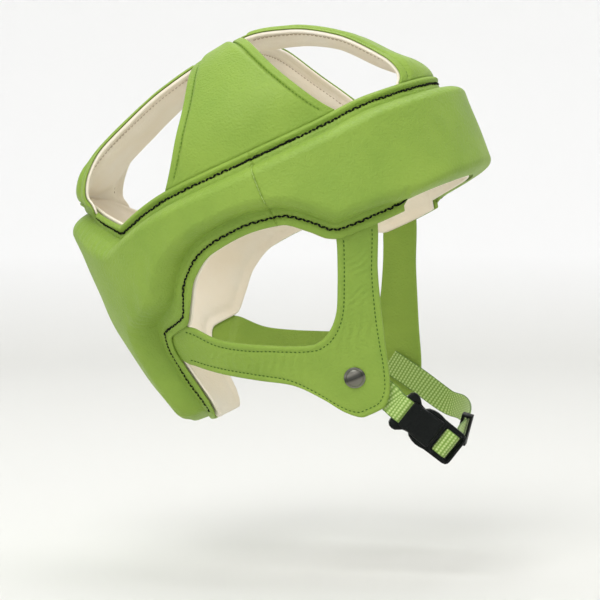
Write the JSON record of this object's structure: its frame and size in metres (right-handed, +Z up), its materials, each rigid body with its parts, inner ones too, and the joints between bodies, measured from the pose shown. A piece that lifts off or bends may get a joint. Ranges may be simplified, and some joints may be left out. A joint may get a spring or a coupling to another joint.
{
  "type": "soft protective helmet",
  "caption": "Soft padded leather helmet with a thick ring round the head, a padded cross over the crown, open ears and a buckled chin strap of webbing.",
  "frame": {"origin": "middle of the underside of the crown, where it sits on the top of the head", "axes": "+Z up as worn, +X towards the brow, +Y to the wearer's left"},
  "size_m": [0.2548, 0.2004, 0.2566],
  "materials": {
    "leather": "soft pebbled sheen",
    "lining": "matt",
    "webbing": "woven",
    "plastic": "satin",
    "metal": "gunmetal"
  },
  "bodies": {
    "root": {"forehead_band": "leather", "occipital_pad": "leather", "crown_saddle": "leather", "front_strap": "leather", "rear_strap": "leather", "ear_strap_right": "leather", "ear_strap_left": "leather", "forehead_lining": "lining", "occipital_lining": "lining", "saddle_lining": "lining", "front_strap_lining": "lining", "rear_strap_lining": "lining", "rivet_right": "metal", "rivet_left": "metal", "webbing_right": "webbing", "webbing_chin": "webbing", "buckle_socket": "plastic", "buckle_plug": "plastic", "strap_slider": "plastic"}
  },
  "joints": []
}
